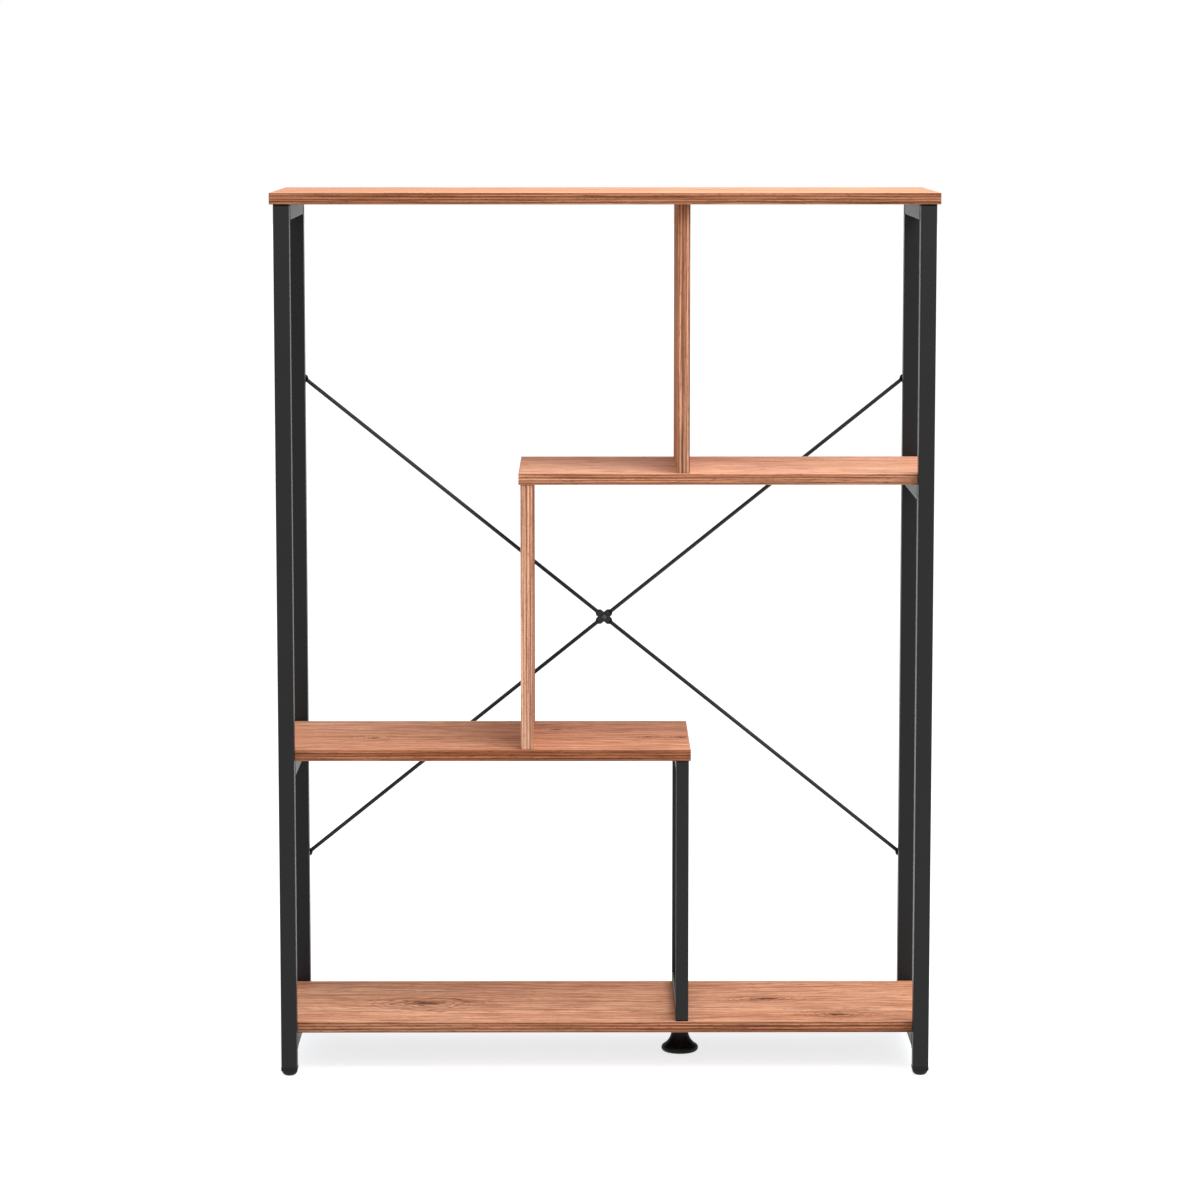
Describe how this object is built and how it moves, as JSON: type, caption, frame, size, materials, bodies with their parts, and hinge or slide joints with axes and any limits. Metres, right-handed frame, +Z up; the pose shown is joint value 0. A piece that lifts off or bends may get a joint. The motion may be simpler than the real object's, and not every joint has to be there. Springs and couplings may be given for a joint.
{
  "type": "staircase bookshelf",
  "caption": "Open staircase bookshelf: black steel ladder frames, stepped oak-look shelves with dividers, a wire cross brace at the back and a levelling foot.",
  "frame": {"origin": "on the floor under the middle of the bookshelf", "axes": "+Z up, -Y the open front, +X the right-hand side seen from the front"},
  "size_m": [1.042, 0.3591, 1.4],
  "materials": {
    "oak_board": "satin oak-look melamine on particle board",
    "oak_edge_band": "printed oak-look edge band",
    "black_steel": "fine black powder coat",
    "black_plastic": "moulded satin plastic",
    "black_zinc": "black zinc",
    "zinc_steel": "bright zinc",
    "zinc_cam": "die-cast zinc",
    "beech_dowel": "fluted beech"
  },
  "bodies": {
    "bookshelf": {"bottom_shelf": "oak_board", "bottom_shelf_edge_bands": "oak_edge_band", "bottom_shelf_screws": "zinc_steel", "brace_centre_bolt": "black_zinc", "brace_centre_nut": "black_zinc", "brace_front_end_bolts": "black_zinc", "brace_rear_end_bolts": "black_zinc", "brace_rivet_nuts": "black_zinc", "brace_spacers": "black_zinc", "brace_wire_front": "black_steel", "brace_wire_rear": "black_steel", "centre_foot_insert": "zinc_steel", "centre_foot_lock_nut": "zinc_steel", "inner_bottom_rail": "black_steel", "inner_bottom_screws": "zinc_steel", "inner_front_post": "black_steel", "inner_post_caps": "black_plastic", "inner_rear_post": "black_steel", "inner_top_rail": "black_steel", "inner_top_screws": "zinc_steel", "left_bottom_rail": "black_steel", "left_front_glide": "black_plastic", "left_front_post": "black_steel", "left_rear_glide": "black_plastic", "left_rear_post": "black_steel", "left_step_rail": "black_steel", "left_top_rail": "black_steel", "lower_divider": "oak_board", "lower_divider_cam_bolts": "zinc_steel", "lower_divider_cams": "zinc_cam", "lower_divider_dowels": "beech_dowel", "lower_divider_edge_bands": "oak_edge_band", "lower_step_screws": "zinc_steel", "lower_step_shelf": "oak_board", "lower_step_shelf_edge_bands": "oak_edge_band", "post_top_caps": "black_plastic", "right_bottom_rail": "black_steel", "right_front_glide": "black_plastic", "right_front_post": "black_steel", "right_rear_glide": "black_plastic", "right_rear_post": "black_steel", "right_step_rail": "black_steel", "right_top_rail": "black_steel", "top_board": "oak_board", "top_board_edge_bands": "oak_edge_band", "top_board_screws": "zinc_steel", "upper_divider": "oak_board", "upper_divider_cam_bolts": "zinc_steel", "upper_divider_cams": "zinc_cam", "upper_divider_dowels": "beech_dowel", "upper_divider_edge_bands": "oak_edge_band", "upper_step_screws": "zinc_steel", "upper_step_shelf": "oak_board", "upper_step_shelf_edge_bands": "oak_edge_band"},
    "foot_base": {"centre_foot_base": "black_plastic"},
    "foot_stud": {"centre_foot_stud": "zinc_steel"}
  },
  "joints": [
    {"name": "foot_height", "type": "slide", "parent": "bookshelf", "child": "foot_base", "axis": [0, 0, 1], "range_m": [-0.005, 0.006]},
    {"name": "foot_turn", "type": "hinge", "parent": "foot_base", "child": "foot_stud", "pos_m": [0.123, 0, 0.03], "axis": [0, 0, 1], "range_deg": [-1125, 1350]}
  ],
  "couplings": [
    {"joint": "foot_height", "follows": "foot_turn", "m_per_rad": 0.00023873}
  ]
}
